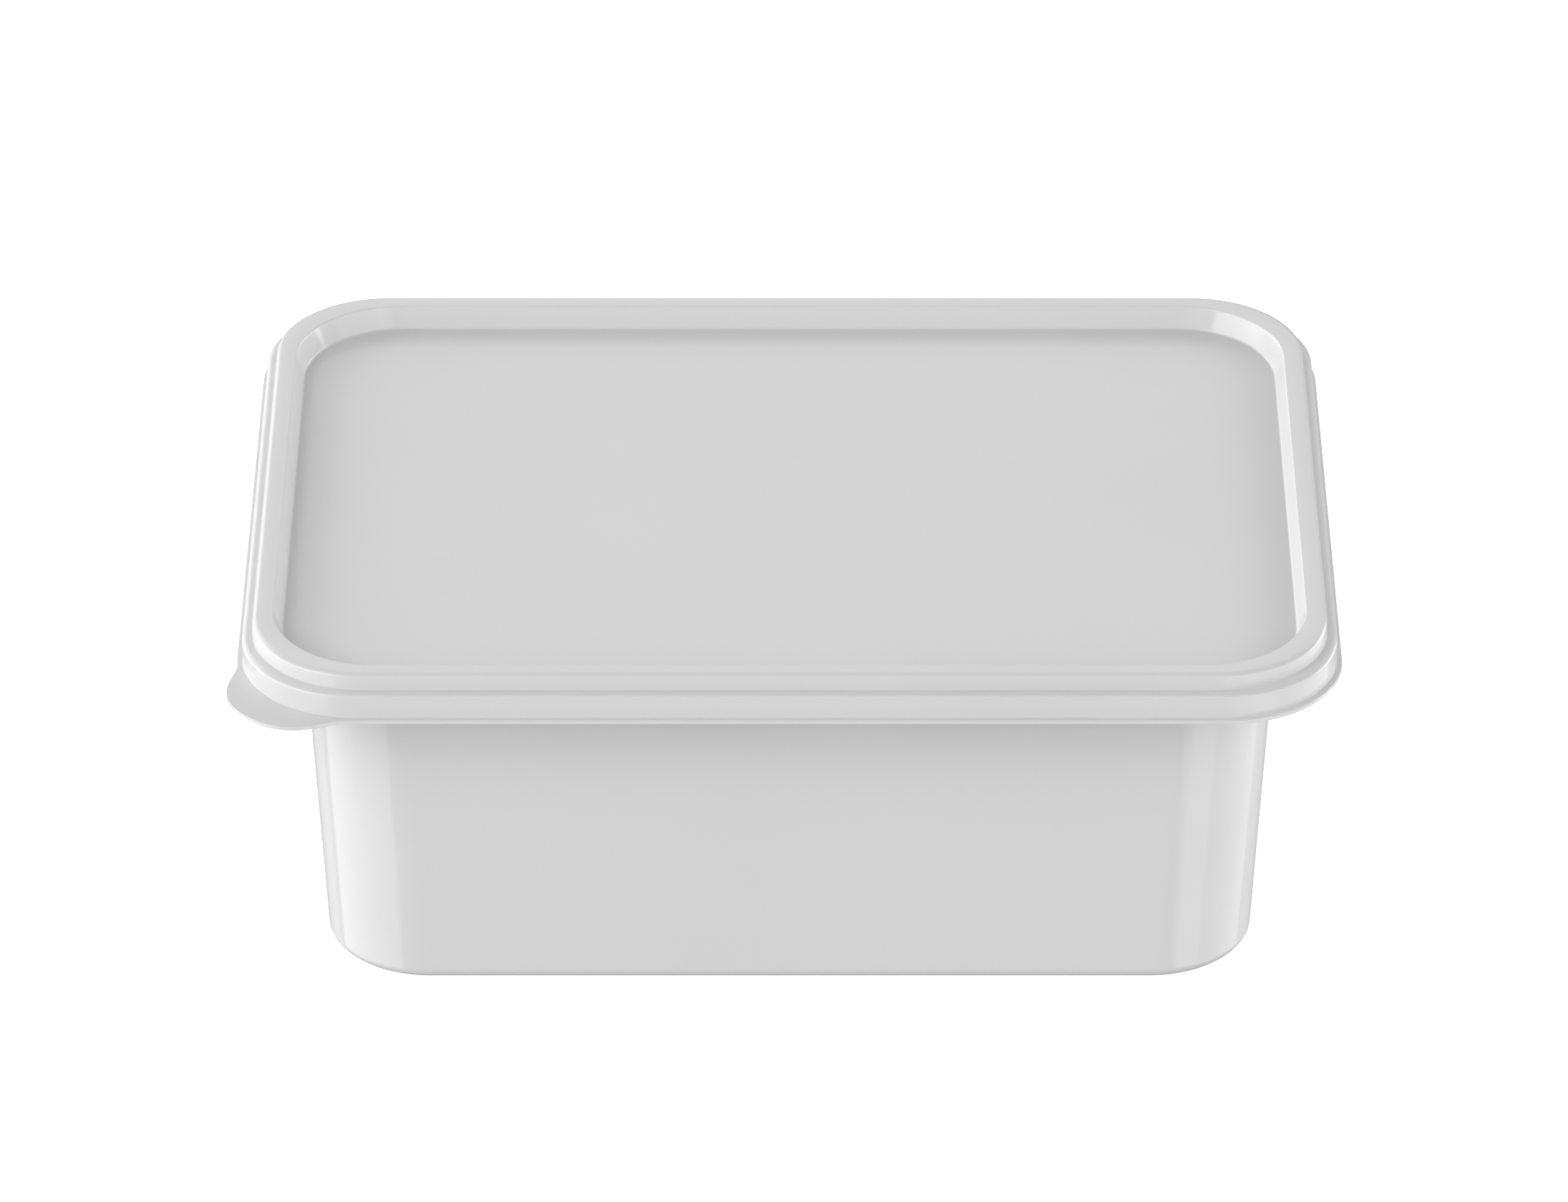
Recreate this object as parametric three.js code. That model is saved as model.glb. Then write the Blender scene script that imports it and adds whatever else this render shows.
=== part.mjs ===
// Shut plastic sweet box: a tapered rectangular tub under a push-fit lid.
// The lid has a sunk top panel inside a raised rim, a two-step skirt, a thin lip round the bottom
// of the skirt and a pull tab that grows out of the lip at the front left corner.
// Millimetres, +Z up, -Y is the front, origin at the centre of the base.

import * as THREE from 'three';

// Lid outline at its lip, the widest line of the box. Every other line of the lid is named by its
// inset from this one, and its corner radius shrinks in step with its half depth.
const LIP_HALF_WIDTH = 95;
const LIP_HALF_DEPTH = 68;
const LIP_CORNER_RADIUS = 20.2;

// Heights on the lid, from the base up. The rim is crowned: it slopes down to both edges from a
// rounded middle line.
const LIP_BOTTOM_Z = 61.8;
const LIP_THICKNESS = 0.7;
const LEDGE_Z = 67.0;
const RIM_TOP_Z = 70.0;
const CROWN_DROP = 0.15;
const PANEL_Z = 65.9;
const LID_WALL = 0.8;

// Insets of the lid's section lines, from the lip inwards.
const SKIRT_FOOT_INSET = 0.86;
const LEDGE_OUTER_INSET = 0.88;
const LEDGE_INNER_INSET = 2.64;
const RIM_OUTER_INSET = 2.68;
const RIM_INNER_INSET = 6.2;
const PANEL_EDGE_INSET = 7.5;
const CROWN_INSET = (RIM_OUTER_INSET + RIM_INNER_INSET) / 2;

// Pull tab: how far it reaches past the lip, the direction of its middle (0 is left, 90 is
// front), half the angle that it spans and how square its shoulders are.
const TAB_REACH = 5.6;
const TAB_ANGLE = 47.25;
const TAB_HALF_SPAN = 41;
const TAB_SQUARENESS = 2.6;

// Tub outline at the base, the draft of its walls and the growth of its corner radius for each
// millimetre that the walls spread.
const BASE_HALF_WIDTH = 81.02;
const BASE_HALF_DEPTH = 54.02;
const BASE_CORNER_RADIUS = 17.35;
const BASE_ROUNDING = 2.6;
const WALL_DRAFT = Math.tan(THREE.MathUtils.degToRad(2.8));
const CORNER_GROWTH = 0.3;

// Push fit: a flange round the top of the tub sits over a bead inside the lid's skirt.
const FIT_GAP = 0.3;
const FLANGE_BOTTOM_Z = 63.4;
const FLANGE_FILLET = 1.05;
const FLANGE_INSET = 2.3;
const SKIRT_INNER_INSET = FLANGE_INSET - FIT_GAP;
const BEAD_INSET = FLANGE_INSET + FIT_GAP;
const BEAD_HEIGHT = 0.5;
const BEAD_TOP_Z = FLANGE_BOTTOM_Z - FIT_GAP;
const LIP_ROOT_INSET = SKIRT_FOOT_INSET + LID_WALL;

// Roundings of the lid's section: how far the outer edges of the ledge and the rim are rounded
// downwards and inwards, then the reach of the rim's crown, its inner edge and the panel's edge.
const CREST_HEIGHT = 0.55;
const LEDGE_CREST = 1.1;
const RIM_CREST = 0.9;
const CROWN_ROUNDING = 0.8;
const INNER_ROUNDING = 0.22;
const PANEL_ROUNDING = 0.33;

// Facets: steps round each corner of the plan and round each rounding of the section.
const CORNER_STEPS = 18;
const ROUNDING_STEPS = 4;

// Points round a rectangle with round corners, counter-clockwise from the right-hand side. bulge
// gives the extra reach at an angle of the front left corner, in degrees from left to front.
function roundedRectangle(halfWidth, halfDepth, radius, bulge = () => 0) {
  const corners = [[1, 1], [-1, 1], [-1, -1], [1, -1]];
  return corners.flatMap(([sideX, sideY], quarter) => {
    const center = new THREE.Vector2(sideX * (halfWidth - radius), sideY * (halfDepth - radius));
    const start = quarter * Math.PI / 2;
    const arc = new THREE.EllipseCurve(0, 0, radius, radius, start, start + Math.PI / 2);
    return arc.getPoints(CORNER_STEPS).map((point, step) => {
      const isTabCorner = sideX < 0 && sideY < 0;
      const reach = isTabCorner ? bulge(90 * step / CORNER_STEPS) : 0;
      return point.setLength(radius + reach).add(center);
    });
  });
}

// Reach of the pull tab past the lip at an angle of its corner: level over the tip, then falling
// through a soft shoulder into the lip.
function tabReach(angle) {
  const share = Math.min(Math.abs(angle - TAB_ANGLE) / TAB_HALF_SPAN, 1);
  return TAB_REACH * (1 - share ** TAB_SQUARENESS) ** 2;
}

// Line of a section through its corners, each [offset, z, before, after]. A rounding is a curve that
// leaves the line before its corner and meets the line after it at those distances.
function sectionLine(corners) {
  const points = corners.map(([offset, z]) => new THREE.Vector2(offset, z));
  const path = new THREE.Path();
  path.moveTo(points[0].x, points[0].y);
  corners.slice(1).forEach(([, , before = 0, after = before], i) => {
    const [last, corner, next] = points.slice(i, i + 3);
    if (before === 0) {
      path.lineTo(corner.x, corner.y);
      return;
    }
    const entry = last.clone().sub(corner).setLength(before).add(corner);
    const exit = next.clone().sub(corner).setLength(after).add(corner);
    path.lineTo(entry.x, entry.y);
    path.quadraticCurveTo(corner.x, corner.y, exit.x, exit.y);
  });
  return path.getPoints(ROUNDING_STEPS);
}

// Closed solid through a stack of outlines { outline, z } with equal point counts. The first
// outline is closed by a face that looks down and the last by one that looks up.
function loft(rings) {
  const columns = rings[0].outline.length;
  const positions = rings.flatMap(({ outline, z }) => outline.flatMap((p) => [p.x, p.y, z]));
  const index = [];
  for (let ring = 0; ring < rings.length - 1; ring += 1) {
    for (let column = 0; column < columns; column += 1) {
      const next = (column + 1) % columns;
      const [a, b] = [ring * columns + column, ring * columns + next];
      const [c, d] = [b + columns, a + columns];
      index.push(a, b, c, a, c, d);
    }
  }
  const top = (rings.length - 1) * columns;
  THREE.ShapeUtils.triangulateShape(rings[0].outline, []).forEach(([a, b, c]) => index.push(a, c, b));
  THREE.ShapeUtils.triangulateShape(rings.at(-1).outline, [])
    .forEach(([a, b, c]) => index.push(top + a, top + b, top + c));
  const geometry = new THREE.BufferGeometry();
  geometry.setAttribute('position', new THREE.Float32BufferAttribute(positions, 3));
  geometry.setIndex(index);
  geometry.computeVertexNormals();
  return geometry;
}

// One outline of the lid, at an inset from the lip.
function lidRing(inset, z, bulge) {
  const halfDepth = LIP_HALF_DEPTH - inset;
  const radius = LIP_CORNER_RADIUS * halfDepth / LIP_HALF_DEPTH;
  const outline = roundedRectangle(LIP_HALF_WIDTH - inset, halfDepth, radius, bulge);
  return { outline, z };
}

// One outline of the tub's wall, at a growth from the base outline.
function tubRing(growth, z) {
  const radius = BASE_CORNER_RADIUS + CORNER_GROWTH * growth;
  const outline = roundedRectangle(BASE_HALF_WIDTH + growth, BASE_HALF_DEPTH + growth, radius);
  return { outline, z };
}

// Tub: base with a small rounding, drafted wall, fillet under the flange, flange and closed top.
function tubGeometry() {
  const wallTop = WALL_DRAFT * FLANGE_BOTTOM_Z;
  const flangeReach = LIP_HALF_WIDTH - FLANGE_INSET - BASE_HALF_WIDTH;
  const wall = sectionLine([
    [-BASE_ROUNDING, 0],
    [0, 0, BASE_ROUNDING],
    [wallTop, FLANGE_BOTTOM_Z, FLANGE_FILLET],
    [flangeReach, FLANGE_BOTTOM_Z],
  ]).slice(0, -1);
  const topZ = PANEL_Z - LID_WALL - FIT_GAP;
  const rings = wall.map(({ x, y }) => tubRing(x, y));
  rings.push(lidRing(FLANGE_INSET, FLANGE_BOTTOM_Z), lidRing(FLANGE_INSET, topZ));
  return loft(rings);
}

// Lid: flat underside, inner skirt with its bead, lip with the pull tab, two-step skirt, crowned
// rim and sunk panel.
function lidGeometry() {
  const lipTopZ = LIP_BOTTOM_Z + LIP_THICKNESS;
  const rimEdgeZ = RIM_TOP_Z - CROWN_DROP;
  const inside = sectionLine([
    [SKIRT_INNER_INSET, PANEL_Z - LID_WALL],
    [SKIRT_INNER_INSET, BEAD_TOP_Z + FIT_GAP],
    [BEAD_INSET, BEAD_TOP_Z],
    [BEAD_INSET, BEAD_TOP_Z - BEAD_HEIGHT],
    [LIP_ROOT_INSET, LIP_BOTTOM_Z],
  ]);
  const outside = sectionLine([
    [0, lipTopZ],
    [SKIRT_FOOT_INSET, lipTopZ],
    [LEDGE_OUTER_INSET, LEDGE_Z, CREST_HEIGHT, LEDGE_CREST],
    [LEDGE_INNER_INSET, LEDGE_Z],
    [RIM_OUTER_INSET, rimEdgeZ, CREST_HEIGHT, RIM_CREST],
    [CROWN_INSET, RIM_TOP_Z, CROWN_ROUNDING],
    [RIM_INNER_INSET, rimEdgeZ, INNER_ROUNDING],
    [PANEL_EDGE_INSET, PANEL_Z, PANEL_ROUNDING],
    [PANEL_EDGE_INSET + 2 * PANEL_ROUNDING, PANEL_Z],
  ]).slice(1);
  return loft([
    ...inside.map(({ x, y }) => lidRing(x, y)),
    lidRing(0, LIP_BOTTOM_Z, tabReach),
    lidRing(0, lipTopZ, tabReach),
    ...outside.map(({ x, y }) => lidRing(x, y)),
  ]);
}

// White polypropylene with the soft gloss of a polished mould.
function whitePlastic() {
  return new THREE.MeshStandardMaterial({ color: 0xe4e4e3, roughness: 0.3, metalness: 0 });
}

function piece(name, geometry) {
  const mesh = new THREE.Mesh(geometry, whitePlastic());
  mesh.name = name;
  return mesh;
}

const sweetBox = new THREE.Group();
sweetBox.add(piece('tub', tubGeometry()), piece('lid', lidGeometry()));

export default sweetBox;
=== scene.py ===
"""Shut plastic sweet box: a tapered white tub under a push-fit lid with a corner pull tab.

The tub and the lid are each one section line carried round a rectangle with round corners. A
Geometry Nodes tree does that for both, and grows the pull tab out of the lid's lip.
"""

import math

import bpy
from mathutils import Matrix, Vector


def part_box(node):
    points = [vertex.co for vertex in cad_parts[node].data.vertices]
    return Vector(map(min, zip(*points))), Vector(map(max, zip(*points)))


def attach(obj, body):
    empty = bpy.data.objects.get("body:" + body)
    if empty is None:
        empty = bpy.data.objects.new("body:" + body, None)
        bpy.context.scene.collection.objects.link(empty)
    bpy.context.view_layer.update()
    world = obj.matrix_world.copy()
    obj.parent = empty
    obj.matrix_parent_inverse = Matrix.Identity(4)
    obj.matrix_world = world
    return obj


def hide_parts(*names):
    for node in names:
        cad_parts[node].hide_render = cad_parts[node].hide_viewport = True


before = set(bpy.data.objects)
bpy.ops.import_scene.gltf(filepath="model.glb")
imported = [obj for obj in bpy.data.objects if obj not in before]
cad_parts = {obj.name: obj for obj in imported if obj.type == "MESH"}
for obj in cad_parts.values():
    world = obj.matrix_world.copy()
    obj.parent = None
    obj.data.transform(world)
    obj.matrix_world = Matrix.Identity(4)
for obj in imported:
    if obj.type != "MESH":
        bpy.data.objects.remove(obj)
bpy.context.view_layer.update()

bl_info = {
    "name": "Plastic Sweet Box",
    "version": (1, 0, 0),
    "blender": (4, 5, 0),
    "location": "View3D > Sidebar > Sweet Box",
    "description": "Builds a shut plastic sweet box with its lid, and a plain studio round it",
    "category": "Add Mesh",
}

MM = 0.001
LID_LOW, LID_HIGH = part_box("lid")
TUB_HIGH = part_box("tub")[1]

# Width of the photograph and where the middle of the box stands across it, in pixels, and the
# width of the camera's sensor in mm.
PHOTO_WIDTH = 2191
BOX_MIDDLE_X = 1103.36
SENSOR_WIDTH = 36

# Mesh fineness: steps round each corner of the plan and round each rounding of the section. A
# flat face gets one more line just past a rounding, so that its shading stays flat. In plan that
# distance is a share of the corner radius.
CORNER_STEPS = 32
ROUNDING_STEPS = 8
CORNER_GUARD = 0.02
SECTION_GUARD = 0.04 * MM
MERGE_DISTANCE = 0.001 * MM

# Corners of the plan count counter-clockwise from the back right. The pull tab is at the front
# left.
TAB_CORNER = 2

# Polypropylene as moulded: its refractive index, how far apart changes of tone, gloss and ripple
# lie, how much the gloss changes and how high the ripple is.
REFRACTIVE_INDEX = 1.49
TONE_DRIFT = 40 * MM
GLOSS_PATCH = 12 * MM
GLOSS_CHANGE = 0.02
RIPPLE_SPACING = 2 * MM
RIPPLE_HEIGHT = 0.004 * MM

# Studio, in metres: how far off the softboxes stand, how far the floor reaches and how far below
# the box it lies. The light under the floor spans this angle to each side.
SOFTBOX_DISTANCE = 2.5
FLOOR_REACH = 4.0
FLOOR_DROP = 0.1 * MM
FLOOR_LIGHT_HALF_WIDTH = math.radians(30)


def linear(hex_colour):
    """Scene-linear red, green and blue of an sRGB hex colour."""
    values = [int(hex_colour[i:i + 2], 16) / 255 for i in (1, 3, 5)]
    return [v / 12.92 if v <= 0.04045 else ((v + 0.055) / 1.055) ** 2.4 for v in values]


def length(name, description, default):
    """A length property in metres."""
    return bpy.props.FloatProperty(
        name=name, description=description, default=default, unit="LENGTH", precision=5)


class LidSizes(bpy.types.PropertyGroup):
    """Sizes of the lid. An inset is measured inwards from the edge of the lip."""

    half_width: length("Half width", "Half of the lid's width at its lip", LID_HIGH.x)
    half_depth: length("Half depth", "Half of the lid's depth at its lip", LID_HIGH.y)
    corner_radius: length("Corner radius", "Radius of the lip's corners in plan", 20.2 * MM)
    lip_bottom: length("Lip bottom", "Height of the lip's underside", LID_LOW.z)
    lip_thickness: length("Lip thickness", "Thickness of the lip and the tab", 0.7 * MM)
    ledge_height: length("Ledge height", "Height of the step in the skirt", 67.0 * MM)
    rim_height: length("Rim height", "Height where the rim's two slopes meet", 70.0 * MM)
    panel_height: length("Panel height", "Height of the sunk panel", 65.9 * MM)
    wall: length("Wall", "Thickness of the panel", 0.8 * MM)
    skirt_foot: length("Skirt foot", "Inset of the lower skirt where it meets the lip", 0.86 * MM)
    ledge_outer: length("Ledge outer edge", "Inset of the step's outer edge", 0.88 * MM)
    ledge_inner: length("Ledge inner edge", "Inset of the foot of the upper skirt", 2.64 * MM)
    rim_outer: length("Rim outer edge", "Inset of the rim's outer edge", 2.68 * MM)
    rim_inner: length("Rim inner edge", "Inset of the rim's inner edge", 6.2 * MM)
    crown_drop: length("Crown drop", "How far the rim's edges lie below its crown", 0.15 * MM)
    panel_edge: length("Panel edge", "Inset of the sunk panel's edge", 7.5 * MM)
    skirt_inner: length("Skirt inside", "Inset of the skirt's inner face", 2.0 * MM)
    bead_inset: length("Bead inset", "Inset of the bead that grips the tub's flange", 2.6 * MM)
    bead_top: length("Bead top", "Height of the top of that bead", 63.1 * MM)
    bead_height: length("Bead height", "Height of that bead", 0.5 * MM)
    crest_height: length("Crest height", "How far the outer roundings reach down", 0.55 * MM)
    ledge_crest: length("Ledge crest", "How far the ledge's rounding reaches inwards", 1.1 * MM)
    rim_crest: length("Rim crest", "How far the rim's rounding reaches inwards", 0.9 * MM)
    crown_rounding: length("Crown rounding", "Reach of the rounding of the rim's crown", 0.8 * MM)
    inner_rounding: length("Inner rounding", "Reach of the rim's inner rounding", 0.22 * MM)
    panel_rounding: length("Panel rounding", "Reach of the fillet round the panel", 0.33 * MM)
    foot_rounding: length("Foot rounding", "Reach of the fillets at the skirt's feet", 0.03 * MM)
    edge_rounding: length("Edge rounding", "Reach of the thin lip's roundings", 0.03 * MM)
    tab_reach: length("Tab reach", "How far the pull tab stands out of the lip", 5.6 * MM)
    tab_angle: bpy.props.FloatProperty(
        name="Tab angle", description="Direction of the tab's middle, from left towards front",
        default=math.radians(47.25), subtype="ANGLE")
    tab_half_span: bpy.props.FloatProperty(
        name="Tab half span", description="Half the angle of the corner that the tab takes",
        default=math.radians(41), subtype="ANGLE")
    tab_squareness: bpy.props.FloatProperty(
        name="Tab squareness", description="How square the tab's shoulders are", default=2.6)


class TubSizes(bpy.types.PropertyGroup):
    """Sizes of the tub. An inset is measured inwards from the edge of the lid's lip."""

    base_inset: length("Base inset", "Inset of the wall at the base", 13.98 * MM)
    base_corner_radius: length("Base corner radius", "Corner radius at the base", 17.35 * MM)
    base_rounding: length("Base rounding", "Reach of the rounding of the base", 2.6 * MM)
    draft: bpy.props.FloatProperty(
        name="Draft", description="Lean of the walls", default=math.radians(2.8), subtype="ANGLE")
    corner_growth: bpy.props.FloatProperty(
        name="Corner growth", description="Growth of the corner radius as the walls spread",
        default=0.3)
    flange_bottom: length("Flange bottom", "Height of the flange's underside", 63.4 * MM)
    flange_inset: length("Flange inset", "Inset of the flange's edge", LID_HIGH.x - TUB_HIGH.x)
    flange_fillet: length("Flange fillet", "Reach of the fillet under the flange", 1.05 * MM)
    top: length("Top", "Height of the closed top under the lid", TUB_HIGH.z)


class PlasticFinish(bpy.types.PropertyGroup):
    """Finish of the moulded plastic."""

    pale: bpy.props.FloatVectorProperty(
        name="Pale tone", description="Colour of the thicker plastic", size=3,
        default=linear("#d4d4d4"), subtype="COLOR")
    shade: bpy.props.FloatVectorProperty(
        name="Shade tone", description="Colour of the thinner plastic", size=3,
        default=linear("#d0d0d1"), subtype="COLOR")
    roughness: bpy.props.FloatProperty(
        name="Roughness", description="Mean roughness of the moulded skin", default=0.12)


class Studio(bpy.types.PropertyGroup):
    """Camera and light."""

    camera_place: bpy.props.FloatVectorProperty(
        name="Camera place", description="Where the camera stands", size=3,
        default=(0, -1427.2 * MM, 915.2 * MM), subtype="TRANSLATION")
    camera_pitch: bpy.props.FloatProperty(
        name="Camera pitch", description="How far the camera looks down",
        default=math.radians(31.375), subtype="ANGLE")
    lens: bpy.props.FloatProperty(
        name="Lens", description="Focal length on a 36 mm wide sensor, in mm", default=216.475)
    light_level: bpy.props.FloatProperty(
        name="Softbox level", description="Strength of all softboxes together", default=1.0)
    floor_colour: bpy.props.FloatVectorProperty(
        name="Floor colour", description="Colour of the pale floor", size=3,
        default=linear("#f7f7f7"), subtype="COLOR")
    floor_glow: bpy.props.FloatProperty(
        name="Floor glow", description="How strongly the floor glows", default=0.6)
    floor_light: bpy.props.FloatProperty(
        name="Floor light", description="Light that comes up through the floor", default=0.3)


class SweetBoxSettings(bpy.types.PropertyGroup):
    """All settings of the box and its studio."""

    lid: bpy.props.PointerProperty(type=LidSizes)
    tub: bpy.props.PointerProperty(type=TubSizes)
    plastic: bpy.props.PointerProperty(type=PlasticFinish)
    studio: bpy.props.PointerProperty(type=Studio)


def add_node(tree, kind, inputs=None, **settings):
    """Adds a node, sets its options, then links or sets its inputs by name or index."""
    node = tree.nodes.new(kind)
    for option, value in settings.items():
        setattr(node, option, value)
    pairs = inputs.items() if isinstance(inputs, dict) else enumerate(inputs or ())
    for key, value in pairs:
        shown = [socket for socket in node.inputs if socket.enabled]
        target = next(socket for i, socket in enumerate(shown) if key in (i, socket.name))
        if isinstance(value, bpy.types.Node):
            value = next(socket for socket in value.outputs if socket.enabled)
        if isinstance(value, bpy.types.NodeSocket):
            tree.links.new(value, target)
        else:
            target.default_value = value
    return node


def loft_tree():
    """Tree that carries a section round a rectangle with round corners.

    A point of the section is (inset from the lip, corner radius, height). The mesh is a grid of
    columns round the plan by rings along the section.
    """
    tree = bpy.data.node_groups.new("rounded_box_loft", "GeometryNodeTree")
    tree.interface.new_socket("Geometry", in_out="OUTPUT", socket_type="NodeSocketGeometry")
    for name, kind in (
        ("Section", "NodeSocketObject"),
        ("Half Width", "NodeSocketFloat"),
        ("Half Depth", "NodeSocketFloat"),
        ("Corner Steps", "NodeSocketInt"),
        ("Corner Guard", "NodeSocketFloat"),
        ("Lip Edge", "NodeSocketFloat"),
        ("Tab Reach", "NodeSocketFloat"),
        ("Tab Angle", "NodeSocketFloat"),
        ("Tab Half Span", "NodeSocketFloat"),
        ("Tab Squareness", "NodeSocketFloat"),
        ("Merge Distance", "NodeSocketFloat"),
        ("Material", "NodeSocketMaterial"),
    ):
        tree.interface.new_socket(name, in_out="INPUT", socket_type=kind)
    given = add_node(tree, "NodeGroupInput").outputs

    # Grid: four corners, each with its steps, both ends and a guard column on either side.
    section = add_node(tree, "GeometryNodeObjectInfo", {"Object": given["Section"]})
    size = add_node(
        tree, "GeometryNodeAttributeDomainSize", [section.outputs["Geometry"]], component="MESH")
    rings = size.outputs["Point Count"]
    per_corner = add_node(
        tree, "FunctionNodeIntegerMath", [given["Corner Steps"], 3], operation="ADD")
    columns = add_node(
        tree, "FunctionNodeIntegerMath", [per_corner, 4, 1], operation="MULTIPLY_ADD")
    grid = add_node(
        tree, "GeometryNodeMeshGrid", {"Vertices X": columns, "Vertices Y": rings})

    # Column and ring of each point, its corner, and its step round that corner.
    index = add_node(tree, "GeometryNodeInputIndex")
    column = add_node(tree, "FunctionNodeIntegerMath", [index, rings], operation="DIVIDE_FLOOR")
    ring = add_node(tree, "FunctionNodeIntegerMath", [index, rings], operation="MODULO")
    lap = add_node(tree, "FunctionNodeIntegerMath", [column, per_corner], operation="DIVIDE_FLOOR")
    corner = add_node(tree, "FunctionNodeIntegerMath", [lap, 4], operation="MODULO")
    place = add_node(tree, "FunctionNodeIntegerMath", [column, per_corner], operation="MODULO")
    step = add_node(tree, "FunctionNodeIntegerMath", [place, 1], operation="SUBTRACT")
    above = add_node(tree, "FunctionNodeIntegerMath", [step, 0], operation="MAXIMUM")
    bounded = add_node(
        tree, "FunctionNodeIntegerMath", [above, given["Corner Steps"]], operation="MINIMUM")
    overshoot = add_node(tree, "FunctionNodeIntegerMath", [step, bounded], operation="SUBTRACT")
    turn = add_node(tree, "ShaderNodeMath", [bounded, given["Corner Steps"]], operation="DIVIDE")
    turned = add_node(tree, "ShaderNodeMath", [turn, math.pi / 2], operation="MULTIPLY")
    angle = add_node(
        tree, "ShaderNodeMath", [corner, math.pi / 2, turned], operation="MULTIPLY_ADD")

    # Point of the section that this ring follows.
    position = add_node(tree, "GeometryNodeInputPosition")
    sample = add_node(
        tree, "GeometryNodeSampleIndex",
        {"Geometry": section.outputs["Geometry"], "Value": position, "Index": ring},
        data_type="FLOAT_VECTOR", domain="POINT")
    parts = add_node(tree, "ShaderNodeSeparateXYZ", [sample])
    inset, radius, height = parts.outputs

    # Pull tab: only the lip's edge at the front left corner carries it.
    off_middle = add_node(
        tree, "ShaderNodeMath", [turned, given["Tab Angle"]], operation="SUBTRACT")
    distance = add_node(tree, "ShaderNodeMath", [off_middle], operation="ABSOLUTE")
    share = add_node(
        tree, "ShaderNodeMath", [distance, given["Tab Half Span"]],
        operation="DIVIDE", use_clamp=True)
    bent = add_node(
        tree, "ShaderNodeMath", [share, given["Tab Squareness"]], operation="POWER")
    left = add_node(tree, "ShaderNodeMath", [1.0, bent], operation="SUBTRACT")
    bump = add_node(tree, "ShaderNodeMath", [left, 2.0], operation="POWER")
    at_corner = add_node(tree, "ShaderNodeMath", [corner, TAB_CORNER, 0.5], operation="COMPARE")
    at_edge = add_node(
        tree, "ShaderNodeMath", [inset, given["Lip Edge"]], operation="LESS_THAN")
    carried = add_node(tree, "ShaderNodeMath", [at_corner, at_edge], operation="MULTIPLY")
    full_reach = add_node(
        tree, "ShaderNodeMath", [carried, given["Tab Reach"]], operation="MULTIPLY")
    reach = add_node(tree, "ShaderNodeMath", [bump, full_reach], operation="MULTIPLY")

    # Arc of the corner, with the guard columns a little way along the straight sides.
    out = add_node(tree, "ShaderNodeMath", [radius, reach], operation="ADD")
    guard = add_node(
        tree, "ShaderNodeMath", [overshoot, given["Corner Guard"]], operation="MULTIPLY")
    along = add_node(tree, "ShaderNodeMath", [guard, radius], operation="MULTIPLY")
    spoke = add_node(tree, "ShaderNodeCombineXYZ", [out, along, height])
    arc = add_node(
        tree, "ShaderNodeVectorRotate", {"Vector": spoke, "Angle": angle}, rotation_type="Z_AXIS")

    # Centre of the corner.
    diagonal = add_node(
        tree, "ShaderNodeMath", [corner, math.pi / 2, math.pi / 4], operation="MULTIPLY_ADD")
    aim = add_node(
        tree, "ShaderNodeVectorRotate", {"Vector": (1, 0, 0), "Angle": diagonal},
        rotation_type="Z_AXIS")
    side = add_node(tree, "ShaderNodeVectorMath", [aim], operation="SIGN")
    back = add_node(tree, "ShaderNodeMath", [inset, radius], operation="ADD")
    half_x = add_node(
        tree, "ShaderNodeMath", [given["Half Width"], back], operation="SUBTRACT")
    half_y = add_node(
        tree, "ShaderNodeMath", [given["Half Depth"], back], operation="SUBTRACT")
    half = add_node(tree, "ShaderNodeCombineXYZ", [half_x, half_y, 0.0])
    centre = add_node(tree, "ShaderNodeVectorMath", [half, side], operation="MULTIPLY")
    point = add_node(tree, "ShaderNodeVectorMath", [centre, arc], operation="ADD")

    # Closed, smooth solid.
    shaped = add_node(
        tree, "GeometryNodeSetPosition", {"Geometry": grid.outputs["Mesh"], "Position": point})
    closed = add_node(
        tree, "GeometryNodeMergeByDistance",
        {"Geometry": shaped, "Distance": given["Merge Distance"]})
    smooth = add_node(tree, "GeometryNodeSetShadeSmooth", {"Geometry": closed})
    real = add_node(tree, "GeometryNodeRealizeInstances", {"Geometry": smooth})
    finished = add_node(
        tree, "GeometryNodeSetMaterial", {"Geometry": real, "Material": given["Material"]})
    add_node(tree, "NodeGroupOutput", [finished])
    return tree


def rounded_line(corners):
    """Points along a section through corners (inset, corner radius, height, before, after).

    A rounding is a quarter of an ellipse that starts and ends at those distances from its corner,
    with a guard point just before and after it on the straight lines.
    """
    points = [Vector(corners[0][:3])]
    for last, corner, following in zip(corners, corners[1:], corners[2:]):
        place, (before, after) = Vector(corner[:3]), corner[3:]
        if before == 0:
            points.append(place)
            continue
        back = (Vector(last[:3]) - place).normalized()
        ahead = (Vector(following[:3]) - place).normalized()
        points.append(place + back * (before + SECTION_GUARD))
        for step in range(ROUNDING_STEPS + 1):
            turn = math.pi / 2 * step / ROUNDING_STEPS
            inwards = back * before * (1 - math.sin(turn))
            points.append(place + inwards + ahead * after * (1 - math.cos(turn)))
        points.append(place + ahead * (after + SECTION_GUARD))
    points.append(Vector(corners[-1][:3]))
    return points


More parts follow.
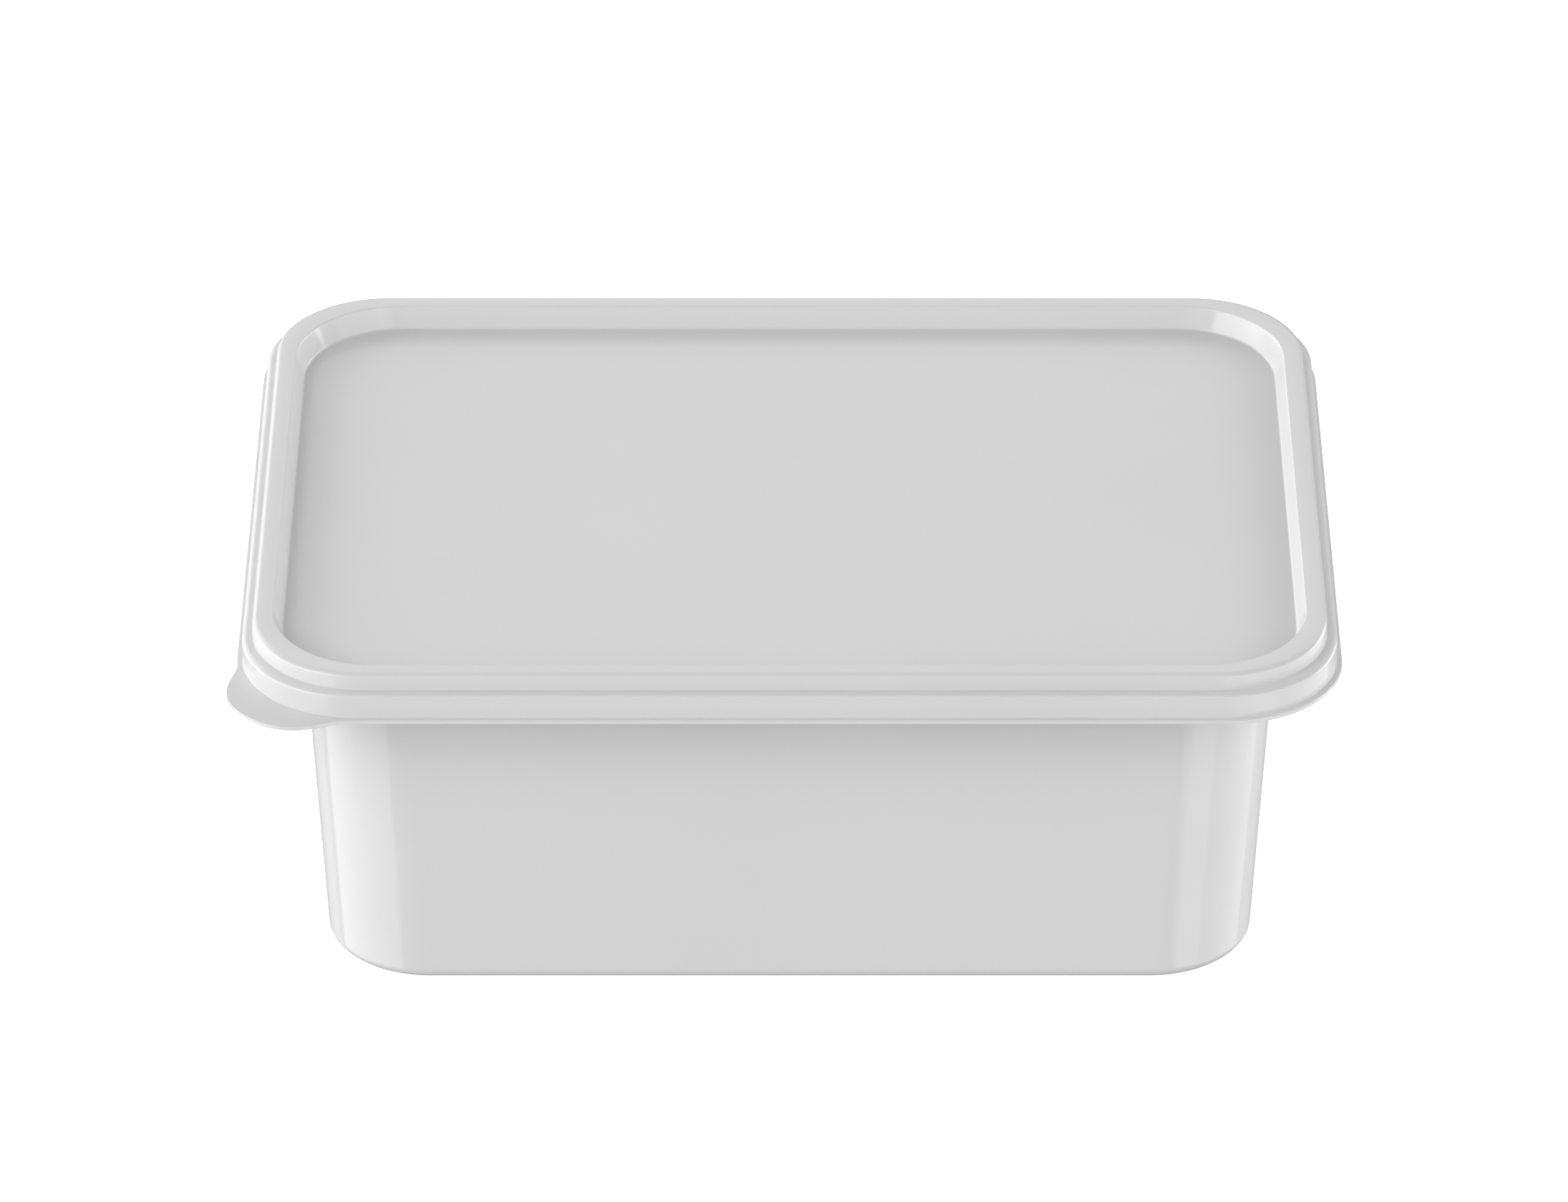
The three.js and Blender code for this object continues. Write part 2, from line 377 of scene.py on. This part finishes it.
def loft(name, section, lid, material):
    """Carries a section round the box's plan and returns the piece as a plain mesh object."""
    line = bpy.data.meshes.new(name + "_section")
    line.from_pydata(section, [(i, i + 1) for i in range(len(section) - 1)], [])
    guide = bpy.data.objects.new(name + "_section", line)
    start = bpy.data.meshes.new(name + "_start")
    piece = bpy.data.objects.new(name, start)
    bpy.context.scene.collection.objects.link(piece)

    tree = bpy.data.node_groups.get("rounded_box_loft") or loft_tree()
    modifier = piece.modifiers.new("loft", "NODES")
    modifier.node_group = tree
    values = {
        "Section": guide,
        "Half Width": lid.half_width,
        "Half Depth": lid.half_depth,
        "Corner Steps": CORNER_STEPS,
        "Corner Guard": CORNER_GUARD,
        "Lip Edge": lid.edge_rounding + MERGE_DISTANCE,
        "Tab Reach": lid.tab_reach,
        "Tab Angle": lid.tab_angle,
        "Tab Half Span": lid.tab_half_span,
        "Tab Squareness": lid.tab_squareness,
        "Merge Distance": MERGE_DISTANCE,
        "Material": material,
    }
    for item in tree.interface.items_tree:
        if item.in_out == "INPUT":
            modifier[item.identifier] = values[item.name]

    evaluated = piece.evaluated_get(bpy.context.evaluated_depsgraph_get())
    mesh = bpy.data.meshes.new_from_object(evaluated)
    mesh.name = name
    piece.modifiers.remove(modifier)
    piece.data = mesh
    bpy.data.objects.remove(guide)
    bpy.data.meshes.remove(start)
    bpy.data.meshes.remove(line)
    return piece


def white_polypropylene(name, finish):
    """White polypropylene, injection-moulded against a polished mould.

    The eye sees a clean, nearly neutral white whose tone drifts a little with the thickness of
    the wall, a soft even gloss that is not quite the same everywhere, and a very fine ripple.
    """
    material = bpy.data.materials.new(name)
    material.use_nodes = True
    tree = material.node_tree
    tree.nodes.clear()
    where = add_node(tree, "ShaderNodeTexCoord").outputs["Object"]

    # Tone, which drifts slowly over the walls.
    drift = add_node(
        tree, "ShaderNodeTexNoise",
        {"Vector": where, "Scale": 1 / TONE_DRIFT, "Detail": 2.0, "Roughness": 0.5})
    tone = add_node(
        tree, "ShaderNodeMix",
        {"Factor": drift, "A": (*finish.shade, 1), "B": (*finish.pale, 1)}, data_type="RGBA")

    # Gloss, which changes in patches of a fingertip's width.
    patches = add_node(
        tree, "ShaderNodeTexNoise",
        {"Vector": where, "Scale": 1 / GLOSS_PATCH, "Detail": 3.0, "Roughness": 0.55})
    gloss = add_node(
        tree, "ShaderNodeMapRange",
        {
            "Value": patches,
            "To Min": finish.roughness - GLOSS_CHANGE,
            "To Max": finish.roughness + GLOSS_CHANGE,
        })

    # Ripple of the moulded skin, a few thousandths of a millimetre high.
    ripple = add_node(
        tree, "ShaderNodeTexNoise",
        {"Vector": where, "Scale": 1 / RIPPLE_SPACING, "Detail": 2.0, "Roughness": 0.5})
    bump = add_node(
        tree, "ShaderNodeBump", {"Height": ripple, "Strength": 0.5, "Distance": RIPPLE_HEIGHT})

    shader = add_node(
        tree, "ShaderNodeBsdfPrincipled",
        {"Base Color": tone, "Roughness": gloss, "Normal": bump, "IOR": REFRACTIVE_INDEX})
    add_node(tree, "ShaderNodeOutputMaterial", {"Surface": shader})
    return material


def lid_section(lid):
    """Section of the lid, from the middle of its underside round the lip to the panel's middle."""
    share = lid.corner_radius / lid.half_depth
    lip_top = lid.lip_bottom + lid.lip_thickness
    under = lid.panel_height - lid.wall
    crown = (lid.rim_outer + lid.rim_inner) / 2
    rim_edge = lid.rim_height - lid.crown_drop
    edge, foot = (lid.edge_rounding,) * 2, (lid.foot_rounding,) * 2
    outline = [
        (lid.half_depth, under, 0, 0),
        (lid.skirt_inner, under, 0, 0),
        (lid.skirt_inner, lid.bead_top + lid.bead_inset - lid.skirt_inner, 0, 0),
        (lid.bead_inset, lid.bead_top, 0, 0),
        (lid.bead_inset, lid.bead_top - lid.bead_height, 0, 0),
        (lid.skirt_foot + lid.wall, lid.lip_bottom, 0, 0),
        (0, lid.lip_bottom, *edge),
        (0, lip_top, *edge),
        (lid.skirt_foot, lip_top, *foot),
        (lid.ledge_outer, lid.ledge_height, lid.crest_height, lid.ledge_crest),
        (lid.ledge_inner, lid.ledge_height, *foot),
        (lid.rim_outer, rim_edge, lid.crest_height, lid.rim_crest),
        (crown, lid.rim_height, lid.crown_rounding, lid.crown_rounding),
        (lid.rim_inner, rim_edge, lid.inner_rounding, lid.inner_rounding),
        (lid.panel_edge, lid.panel_height, lid.panel_rounding, lid.panel_rounding),
        (lid.half_depth, lid.panel_height, 0, 0),
    ]
    return rounded_line([
        (inset, share * (lid.half_depth - inset), *rest) for inset, *rest in outline])


def tub_section(tub, lid):
    """Section of the tub, from the middle of its base up the wall to the middle of its top."""
    share = lid.corner_radius / lid.half_depth
    spread = math.tan(tub.draft) * tub.flange_bottom
    top_corner = tub.base_corner_radius + tub.corner_growth * spread
    flange_corner = share * (lid.half_depth - tub.flange_inset)
    fillet = tub.flange_fillet
    return rounded_line([
        (lid.half_depth, 0, 0, 0, 0),
        (tub.base_inset, tub.base_corner_radius, 0, tub.base_rounding, tub.base_rounding),
        (tub.base_inset - spread, top_corner, tub.flange_bottom, fillet, fillet),
        (tub.flange_inset, flange_corner, tub.flange_bottom, 0, 0),
        (tub.flange_inset, flange_corner, tub.top, 0, 0),
        (lid.half_depth, 0, tub.top, 0, 0),
    ])


class SWEETBOX_OT_make_tub(bpy.types.Operator):
    """Makes the tub in place of its plain solid"""

    bl_idname = "sweet_box.make_tub"
    bl_label = "Make Tub"

    def execute(self, context):
        settings = context.scene.sweet_box
        material = white_polypropylene("polypropylene_moulded_tub", settings.plastic)
        section = tub_section(settings.tub, settings.lid)
        tub = loft("sweet_tub", section, settings.lid, material)
        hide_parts("tub")
        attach(tub, "root")
        return {"FINISHED"}


class SWEETBOX_OT_make_lid(bpy.types.Operator):
    """Makes the lid with its pull tab in place of its plain solid"""

    bl_idname = "sweet_box.make_lid"
    bl_label = "Make Lid"

    def execute(self, context):
        settings = context.scene.sweet_box
        material = white_polypropylene("polypropylene_moulded_lid", settings.plastic)
        lid = loft("sweet_lid", lid_section(settings.lid), settings.lid, material)
        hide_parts("lid")
        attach(lid, "root")
        return {"FINISHED"}


def area_light(name, width, height, radiance, place, rotation):
    """Rectangular light of even radiance that the camera doesn't see."""
    light = bpy.data.lights.new(name, "AREA")
    light.shape = "RECTANGLE"
    light.size = width
    light.size_y = height
    light.energy = radiance * math.pi * width * height
    lamp = bpy.data.objects.new(name, light)
    bpy.context.scene.collection.objects.link(lamp)
    lamp.location = place
    lamp.rotation_euler = rotation
    lamp.visible_camera = False


def softbox(name, azimuth, half_width, low, high, radiance):
    """Upright softbox that faces the box.

    Its place and size are angles in degrees as the box sees them. Azimuth 0 is on the camera's
    side and 90 on the right.
    """
    half, bottom, top = (
        SOFTBOX_DISTANCE * math.tan(math.radians(angle)) for angle in (half_width, low, high))
    turn = math.radians(azimuth)
    away = Vector((math.sin(turn), -math.cos(turn), 0)) * SOFTBOX_DISTANCE
    middle = Vector((0, 0, (LID_HIGH.z + bottom + top) / 2))
    area_light(name, 2 * half, top - bottom, radiance, away + middle, (math.pi / 2, 0, turn))


def pale_floor(studio):
    """White light table that the camera sees, with a light that shines up through it."""
    material = bpy.data.materials.new("opal_light_table")
    material.use_nodes = True
    material.cycles.emission_sampling = "NONE"
    shader = material.node_tree.nodes["Principled BSDF"]
    shader.inputs["Base Color"].default_value = (*studio.floor_colour, 1)
    shader.inputs["Specular IOR Level"].default_value = 0.0
    shader.inputs["Emission Color"].default_value = (1, 1, 1, 1)
    shader.inputs["Emission Strength"].default_value = studio.floor_glow

    corners = [
        (side_x * FLOOR_REACH, side_y * FLOOR_REACH, -FLOOR_DROP)
        for side_x, side_y in ((-1, -1), (1, -1), (1, 1), (-1, 1))
    ]
    mesh = bpy.data.meshes.new("floor")
    mesh.from_pydata(corners, [], [(0, 1, 2, 3)])
    mesh.materials.append(material)
    floor = bpy.data.objects.new("floor", mesh)
    bpy.context.scene.collection.objects.link(floor)

    # The floor neither lights the box nor holds back the light from below.
    floor.visible_diffuse = False
    floor.visible_glossy = False
    floor.visible_transmission = False
    floor.visible_shadow = False

    size = 2 * SOFTBOX_DISTANCE * math.tan(FLOOR_LIGHT_HALF_WIDTH)
    area_light(
        "floor_light", size, size, studio.floor_light * studio.light_level,
        (0, 0, -SOFTBOX_DISTANCE), (math.pi, 0, 0))


class SWEETBOX_OT_set_stage(bpy.types.Operator):
    """Sets the floor, the soft light and the camera"""

    bl_idname = "sweet_box.set_stage"
    bl_label = "Set Stage"

    def execute(self, context):
        scene = context.scene
        studio = scene.sweet_box.studio
        scene.view_settings.view_transform = "Standard"
        pale_floor(studio)

        # White room that only the camera sees.
        world = bpy.data.worlds.new("white_room")
        world.use_nodes = True
        tree = world.node_tree
        background = tree.nodes["Background"]
        background.inputs["Color"].default_value = (1, 1, 1, 1)
        seen = add_node(tree, "ShaderNodeLightPath").outputs["Is Camera Ray"]
        tree.links.new(seen, background.inputs["Strength"])
        scene.world = world

        # Azimuth, half width, lowest and highest angle in degrees, then radiance.
        level = studio.light_level
        softbox("left_wall", -90, 50, -5, 29, 3.4 * level)
        softbox("left_front_key", -50, 20, 25, 55, 4.6 * level)
        softbox("left_low", -72, 43, -57, -13, 1.27 * level)
        softbox("left_back", -135, 25, 0, 45, 1.45 * level)
        softbox("front", 0, 25, 0, 30, 0.5 * level)
        softbox("right_front", 45, 28, 10, 54, 1.0 * level)
        softbox("right_front_low", 43, 14, -56, -20, 0.85 * level)
        softbox("right_wall", 70, 60, 0, 50, 1.0 * level)
        softbox("right_low", 70, 60, -50, 0, 1.15 * level)
        softbox("right_strip", 118, 22, 0, 30, 3.45 * level)
        softbox("back_wall", 180, 50, 15, 45, 0.95 * level)
        softbox("back_low", 180, 55, -55, -5, 0.4 * level)

        camera = bpy.data.cameras.new("camera")
        camera.sensor_width = SENSOR_WIDTH
        camera.lens = studio.lens
        camera.shift_x = (PHOTO_WIDTH / 2 - BOX_MIDDLE_X) / PHOTO_WIDTH
        viewer = bpy.data.objects.new("camera", camera)
        viewer.location = studio.camera_place
        viewer.rotation_euler = (math.pi / 2 - studio.camera_pitch, 0, 0)
        scene.collection.objects.link(viewer)
        scene.camera = viewer
        return {"FINISHED"}


class VIEW3D_PT_sweet_box(bpy.types.Panel):
    """Lists the steps that build the box"""

    bl_label = "Sweet Box"
    bl_space_type = "VIEW_3D"
    bl_region_type = "UI"
    bl_category = "Sweet Box"

    def draw(self, context):
        settings = context.scene.sweet_box
        for operator in (SWEETBOX_OT_set_stage, SWEETBOX_OT_make_tub, SWEETBOX_OT_make_lid):
            self.layout.operator(operator.bl_idname)
        for group in (settings.tub, settings.lid, settings.plastic, settings.studio):
            box = self.layout.box()
            for name in group.__annotations__:
                box.prop(group, name)


CLASSES = (
    LidSizes,
    TubSizes,
    PlasticFinish,
    Studio,
    SweetBoxSettings,
    SWEETBOX_OT_make_tub,
    SWEETBOX_OT_make_lid,
    SWEETBOX_OT_set_stage,
    VIEW3D_PT_sweet_box,
)


def register():
    for cls in CLASSES:
        bpy.utils.register_class(cls)
    bpy.types.Scene.sweet_box = bpy.props.PointerProperty(type=SweetBoxSettings)


def unregister():
    del bpy.types.Scene.sweet_box
    for cls in reversed(CLASSES):
        bpy.utils.unregister_class(cls)


def main():
    register()
    bpy.ops.sweet_box.set_stage()
    bpy.ops.sweet_box.make_tub()
    bpy.ops.sweet_box.make_lid()


if __name__ == "__main__":
    main()
